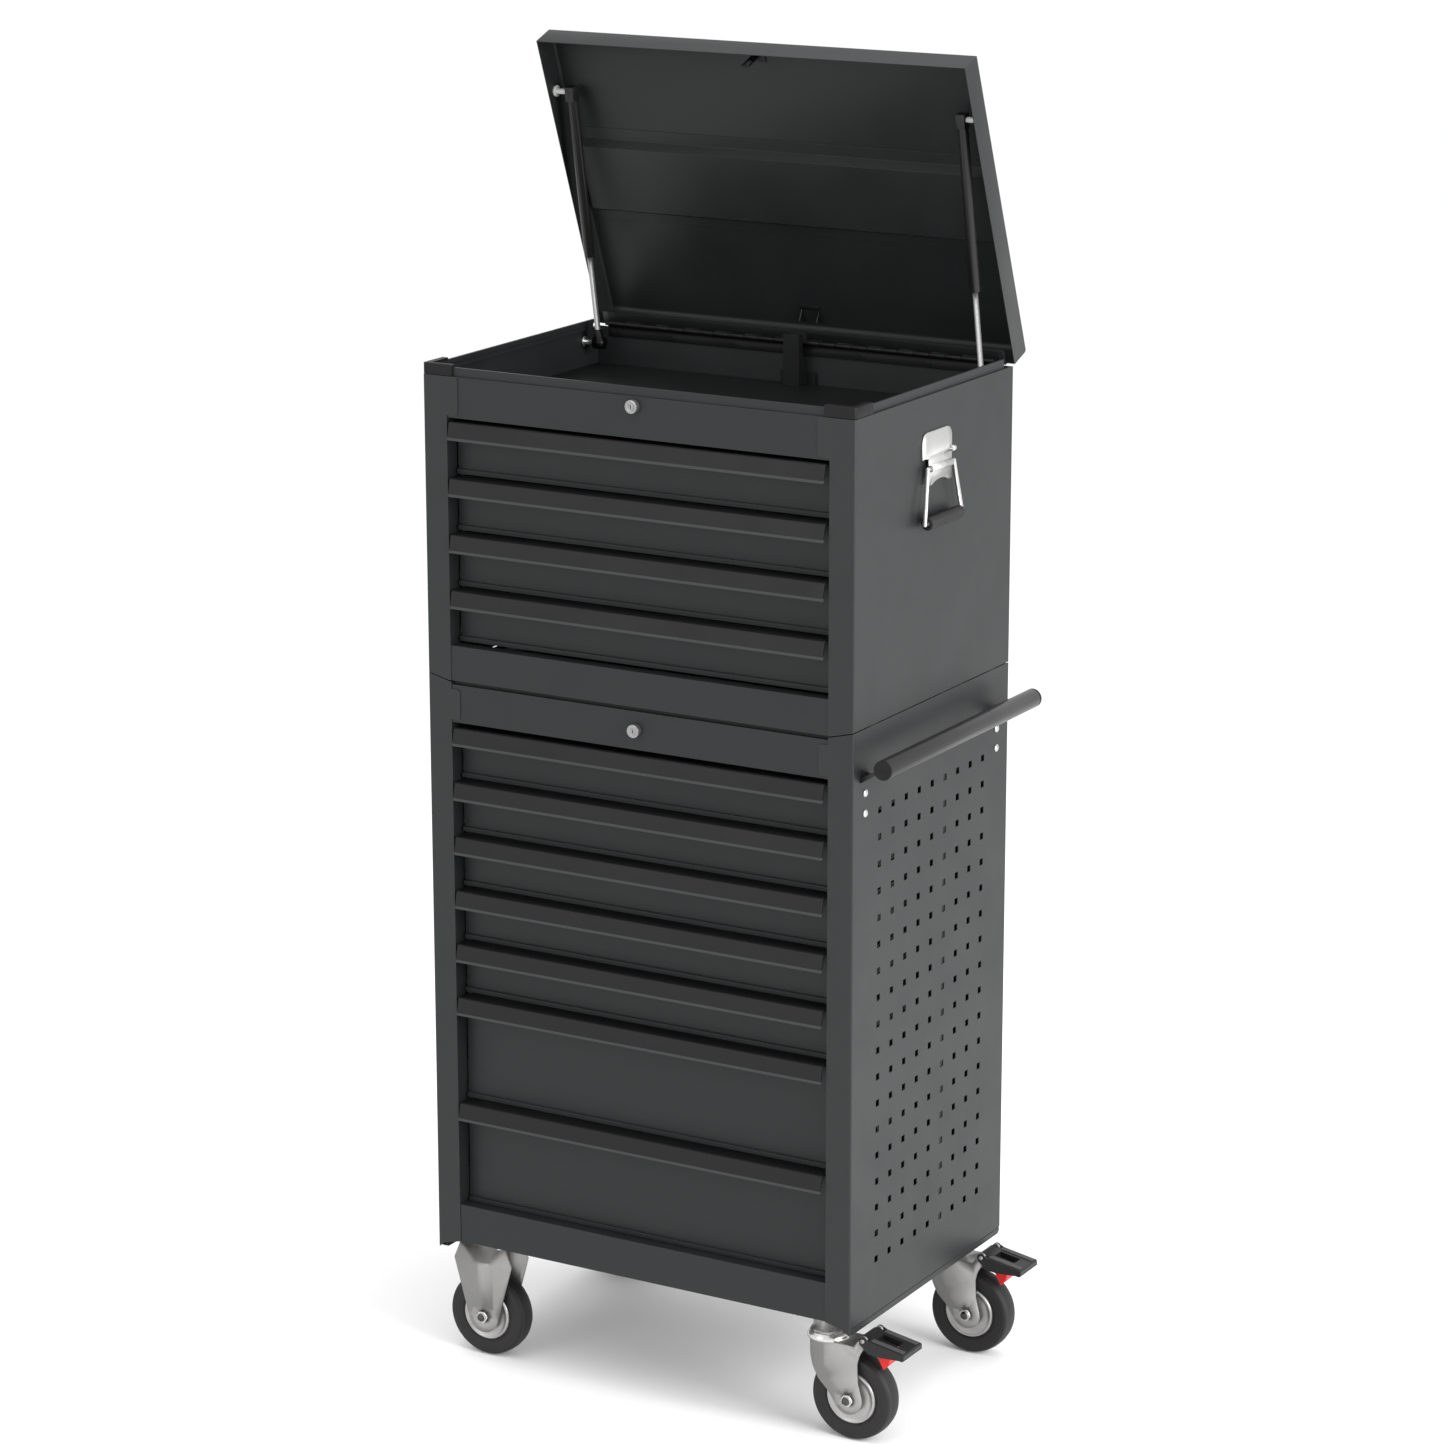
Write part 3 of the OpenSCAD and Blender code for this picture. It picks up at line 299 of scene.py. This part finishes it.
def fork_mat(name, x, y, sw=None):
    """zinc fork; bright hexagon nuts, dark bolt end and a painted highlight on the swivel race"""
    def zones(n, l, tc, c, rg):
        sp = xyz(n, l, tc)
        dx = op(n, l, "SUBTRACT", sp["X"], (x + OX) / 1000)
        dz = op(n, l, "SUBTRACT", sp["Z"], WR / 1000)
        r = op(n, l, "SQRT", op(n, l, "ADD", op(n, l, "MULTIPLY", dx, dx), op(n, l, "MULTIPLY", dz, dz)))
        ay = op(n, l, "ABSOLUTE", op(n, l, "SUBTRACT", sp["Y"], (y + OY) / 1000))
        nut = allof(n, l, op(n, l, "GREATER_THAN", ay, 0.02408), op(n, l, "LESS_THAN", r, 0.0092))
        end = allof(n, l, op(n, l, "GREATER_THAN", ay, 0.0300), op(n, l, "LESS_THAN", r, 0.0059))
        bright_nut_and_race_highlight = nut
        # painted highlight: the race ring under the neck is brightened in colour to stand for light caught on it
        if sw is not None:
            ex = op(n, l, "SUBTRACT", sp["X"], (sw + OX) / 1000)
            ey = op(n, l, "SUBTRACT", sp["Y"], (y + OY) / 1000)
            q = op(n, l, "SQRT", op(n, l, "ADD", op(n, l, "MULTIPLY", ex, ex), op(n, l, "MULTIPLY", ey, ey)))
            race = allof(n, l, op(n, l, "GREATER_THAN", sp["Z"], 0.14305), op(n, l, "LESS_THAN", q, 0.0307))
            bright_nut_and_race_highlight = op(n, l, "MAXIMUM", nut, race)
        c = mixc(n, l, bright_nut_and_race_highlight, c, (0.62, 0.615, 0.60))
        c = mixc(n, l, end, c, (0.07, 0.07, 0.07))
        rg = op(n, l, "SUBTRACT", rg, op(n, l, "MULTIPLY", bright_nut_and_race_highlight, 0.22))
        return c, rg
    return zinc(name, (0.315, 0.312, 0.306), 0.42, zones=zones)


def fixed_mat():
    def zones(n, l, tc, c, rg):
        sp = xyz(n, l, tc)
        dx = op(n, l, "SUBTRACT", sp["X"], (-CX + OX) / 1000)
        dz = op(n, l, "SUBTRACT", sp["Z"], WR / 1000)
        r = op(n, l, "SQRT", op(n, l, "ADD", op(n, l, "MULTIPLY", dx, dx), op(n, l, "MULTIPLY", dz, dz)))
        fold = op(n, l, "ABSOLUTE", op(n, l, "SUBTRACT", sp["Y"], OY / 1000))
        ay = op(n, l, "ABSOLUTE", op(n, l, "SUBTRACT", fold, CY / 1000))
        nut = allof(n, l, op(n, l, "GREATER_THAN", ay, 0.02408), op(n, l, "LESS_THAN", r, 0.0092))
        end = allof(n, l, op(n, l, "GREATER_THAN", ay, 0.0300), op(n, l, "LESS_THAN", r, 0.0059))
        c = mixc(n, l, nut, c, (0.62, 0.615, 0.60))
        c = mixc(n, l, end, c, (0.07, 0.07, 0.07))
        return c, op(n, l, "SUBTRACT", rg, op(n, l, "MULTIPLY", nut, 0.2))
    return zinc("fixed_fork_zinc", (0.315, 0.312, 0.306), 0.42, zones=zones)


def rods_mat():
    """bright piston rods ending in black sockets over the lower studs"""
    def zones(n, l, tc, c, rg):
        sp = xyz(n, l, tc)
        low = op(n, l, "LESS_THAN", sp["Z"], (Z_TOP - 18 + 20.5) / 1000)
        return mixc(n, l, low, c, (0.012, 0.012, 0.012)), rg
    return zinc("rod_plating", (0.30, 0.30, 0.30), 0.34, spangle=0.2, zones=zones)


def studs_mat():
    # painted shade: the fittings take the darkened copy of the body paint; the studs beyond |x| 250 mm are zinc
    def zones(n, l, tc, cur):
        sp = xyz(n, l, tc)
        ax = op(n, l, "ABSOLUTE", op(n, l, "SUBTRACT", sp["X"], OX / 1000))
        return mixc(n, l, op(n, l, "GREATER_THAN", ax, 0.25), cur, (0.45, 0.45, 0.44))
    return powder("lid_fitting_paint", INNER_SHADE, 0.4, edge=0.2, spec=0.3, zones=zones)


def wheel_mat(name, x, y):
    """black rubber tread around a plated dish, split at the dish radius"""
    m, n, l, bs, tc = new_mat(name)
    sp = xyz(n, l, tc)
    dx = op(n, l, "SUBTRACT", sp["X"], (x + OX) / 1000)
    dz = op(n, l, "SUBTRACT", sp["Z"], WR / 1000)
    r = op(n, l, "SQRT", op(n, l, "ADD", op(n, l, "MULTIPLY", dx, dx), op(n, l, "MULTIPLY", dz, dz)))
    hub = op(n, l, "LESS_THAN", r, 0.03853)
    big = noise(n, l, tc, 45.0, 5.0, 0.6)
    fine = noise(n, l, tc, 700.0, 3.0)
    rub = mixc(n, l, ramp(n, l, big.outputs[0], 0.35, 0.7, 0, 1),
               (0.0105, 0.0105, 0.0108), (0.0150, 0.0150, 0.0152))
    # painted highlight: lighter ring lines on the sidewall stand for light caught on its moulded rings
    ring = op(n, l, "SINE", op(n, l, "MULTIPLY", r, 1150.0))
    rub = mixc(n, l, ramp(n, l, ring, 0.9, 1.0, 0.0, 0.6), rub, (0.032, 0.032, 0.032))
    met = mixc(n, l, ramp(n, l, big.outputs[0], 0.3, 0.7, 0, 1), (0.33, 0.325, 0.32), (0.43, 0.425, 0.42))
    l.new(mixc(n, l, hub, rub, met), bs.inputs["Base Color"])
    l.new(op(n, l, "MULTIPLY", hub, 0.85), bs.inputs["Metallic"])
    rr = ramp(n, l, big.outputs[0], 0.3, 0.7, 0.52, 0.66)
    l.new(op(n, l, "SUBTRACT", rr, op(n, l, "MULTIPLY", hub, 0.2)), bs.inputs["Roughness"])
    bs.inputs["Specular IOR Level"].default_value = 0.3
    bump(n, l, bs, fine.outputs[0], 0.22, 0.0003)
    return m


def pedal_mat(name, y):
    """black pressed pedal with paler ribs and a red release tab"""
    def zones(n, l, tc, cur):
        sp = xyz(n, l, tc)
        px = op(n, l, "SUBTRACT", sp["X"], (CX + OX) / 1000)
        ay = op(n, l, "ABSOLUTE", op(n, l, "SUBTRACT", sp["Y"], (y + OY) / 1000))
        # height over the pad's upper plane
        top = op(n, l, "ADD", sp["Z"], op(n, l, "MULTIPLY", op(n, l, "SUBTRACT", px, 0.076), 0.1722))
        ribs = allof(n, l, op(n, l, "GREATER_THAN", top, 0.15735), op(n, l, "GREATER_THAN", px, 0.0785),
                     op(n, l, "GREATER_THAN", ay, 0.0148), op(n, l, "LESS_THAN", ay, 0.0242))
        cur = mixc(n, l, ribs, cur, (0.085, 0.085, 0.086))
        low = op(n, l, "ADD", sp["Z"], op(n, l, "MULTIPLY", op(n, l, "SUBTRACT", px, 0.080), 0.2115))
        tab = allof(n, l, op(n, l, "LESS_THAN", low, 0.14812), op(n, l, "GREATER_THAN", px, 0.0799),
                    op(n, l, "LESS_THAN", px, 0.1045), op(n, l, "LESS_THAN", ay, 0.01106))
        return mixc(n, l, tab, cur, (0.62, 0.012, 0.010))
    return powder(name, (0.0090, 0.0090, 0.0093), 0.4, edge=0.25, spec=0.3, zones=zones)


def assign(node, mat, bevel=0.0004, seg=2, smooth=35, flat=False):
    o = NODES[node]
    me = o.data
    me.materials.clear()
    me.materials.append(mat)
    me.polygons.foreach_set("use_smooth", [not flat] * len(me.polygons))
    w = o.modifiers.new("weld", "WELD")
    w.merge_threshold = 0.000002
    if bevel:
        b = o.modifiers.new("bevel", "BEVEL")
        b.width = bevel
        b.segments = seg
        b.limit_method = "ANGLE"
        b.angle_limit = math.radians(smooth)
        b.harden_normals = not flat
        b.use_clamp_overlap = True
    elif not flat:
        me.set_sharp_from_angle(angle=math.radians(smooth))
    return o


CAB = [(Z_CAB - (i + 1) * P, P) for i in range(5)] + [(Z_CAB - 7 * P, 2 * P), (Z_OPEN, 2 * P)]
CHE = [(Z_CHS - (i + 1) * P, P) for i in range(4)]
for pre, lst in (("cab", CAB), ("chest", CHE)):
    for i, (z, h) in enumerate(lst, 1):
        nm = f"{pre}_drawer_{i}"
        assign(nm, drawer_mat(nm + "_paint", z + h), 0.0004, flat=True)
for nm in ("cab_side_panels", "chest_side_panels", "cab_back_panel", "chest_back_panel"):
    assign(nm, M["body"], 0.0004, flat=True)
for nm in ("cab_front_rails", "chest_front_rails"):
    assign(nm, M["front"], 0.0004, flat=True)
# painted shade: interior panels, uprights, tray floor and lock bar channel take the darkened copy of the body
# paint
for nm in ("cab_bottom_panel", "cab_top_panel", "cab_uprights",
           "chest_bottom_panel", "chest_tray_floor", "chest_uprights", "lock_bar_channel"):
    assign(nm, M["inner"], 0.0003, flat=True)
assign("cab_base_rails", M["body"], 0.0004, flat=True)
assign("chest_rim", M["front"], 0.0004, flat=True)
# painted shade: the hinge leaves take the darkened copy of the body paint
for nm in ("chest_hinge_leaf", "lid_hinge_leaf"):
    assign(nm, M["inner"], 0.0003)
assign("lid_fittings", studs_mat(), 0.0003)
assign("lid_shell", lid_mat(), 0.0004)
assign("lid_stiffener", M["lid"], 0.0004, flat=True)
assign("push_handle_tube", M["handle"], 0.0004)
assign("dome_screws", M["screw"], 0)
assign("push_handle_brackets", M["handle"], 0.0004, flat=True)
assign("strut_cylinders", M["strut"], 0.0003)
for nm in ("cab_slide_rails", "chest_slide_rails"):
    assign(nm, M["slide"], 0, flat=True)
assign("fixed_forks", fixed_mat(), 0)
assign("bail_plates", M["plate"], 0)
for nm in ("bail_right", "bail_left", "caster_plates"):
    assign(nm, M["bail"], 0)
for nm in ("lock_housings", "chest_lock_core", "cab_lock_core"):
    assign(nm, M["lock"], 0.0003)
assign("strut_studs", M["bright"], 0)
assign("strut_rods", rods_mat(), 0)
for nm in ("rim_corner_caps", "push_tube_caps"):
    assign(nm, M["black"], 0.0008, 3)
for nm in ("grip_right", "grip_left"):
    assign(nm, M["grip"], 0)
for nm, y in (("front", -CY), ("rear", CY)):
    assign("swivel_fork_" + nm, fork_mat("swivel_zinc_" + nm, CX + TRAIL, y, CX), 0)
    assign("brake_pedal_" + nm, pedal_mat("pedal_paint_" + nm, y), 0.0004, flat=True)
    assign("wheel_swivel_" + nm, wheel_mat("swivel_wheel_" + nm, CX + TRAIL, y), 0)
    assign("wheel_fixed_" + nm, wheel_mat("fixed_wheel_" + nm, -CX, y), 0)

# ------------------------------------------------------------------ stage
def floor_mat():
    m, n, l, bs, tc = new_mat("floor")
    a = noise(n, l, tc, 0.8, 1.0)
    c = mixc(n, l, ramp(n, l, a.outputs[0], 0.3, 0.7, 0, 1), (0.905, 0.905, 0.905), (0.915, 0.915, 0.915))
    l.new(c, bs.inputs["Base Color"])
    bs.inputs["Roughness"].default_value = 0.75
    return m


me = bpy.data.meshes.new("floor")
me.from_pydata([(-30, -30, 0), (30, -30, 0), (30, 30, 0), (-30, 30, 0)], [], [(0, 1, 2, 3)])
floor = bpy.data.objects.new("floor", me)
bpy.context.scene.collection.objects.link(floor)
me.materials.append(floor_mat())

world = bpy.context.scene.world or bpy.data.worlds.new("world")
bpy.context.scene.world = world
world.use_nodes = True
bg = world.node_tree.nodes.get("Background")
if bg is None:
    bg = world.node_tree.nodes.new("ShaderNodeBackground")
    wo = world.node_tree.nodes.new("ShaderNodeOutputWorld")
    world.node_tree.links.new(bg.outputs[0], wo.inputs[0])
bg.inputs[0].default_value = (1.0, 1.0, 1.0, 1)
bg.inputs[1].default_value = 1.10


def area(name, loc, target, size, power, size_y=None):
    d = bpy.data.lights.new(name, "AREA")
    d.energy = power
    d.shape = "RECTANGLE"
    d.size = size
    d.size_y = size_y or size
    o = bpy.data.objects.new(name, d)
    bpy.context.scene.collection.objects.link(o)
    o.location = loc
    o.rotation_euler = (Vector(target) - Vector(loc)).to_track_quat("-Z", "Y").to_euler()
    return o


area("key_right", (4.4, -0.7, 2.2), (0, 0, 0.9), 2.4, 215, 2.6)
area("front_soft", (-1.6, -4.6, 2.4), (0, 0, 0.9), 2.2, 35, 2.4)
area("top_soft", (0.2, -0.4, 4.4), (0, 0, 1.2), 2.6, 60)

# ------------------------------------------------------------------ camera
cam = bpy.data.cameras.new("camera")
camo = bpy.data.objects.new("camera", cam)
bpy.context.scene.collection.objects.link(camo)
yaw, pitch, roll = math.radians(30.27), math.radians(14.83), math.radians(0.061)
R = (Matrix.Rotation(yaw, 3, "Z") @ Matrix.Rotation(math.pi / 2 - pitch, 3, "X")
     @ Matrix.Rotation(-roll, 3, "Z"))
camo.matrix_world = Matrix.Translation(Vector(((3069.2 + OX) / 1000, (-5250.4 + OY) / 1000, 2.5554))) @ R.to_4x4()
cam.sensor_fit = "HORIZONTAL"
cam.sensor_width = 36.0
cam.lens = 36.0 * 4464.0 / 1445.0
cam.dof.use_dof = False
cam.clip_end = 100.0
bpy.context.scene.camera = camo
bpy.context.scene.view_settings.view_transform = "Standard"
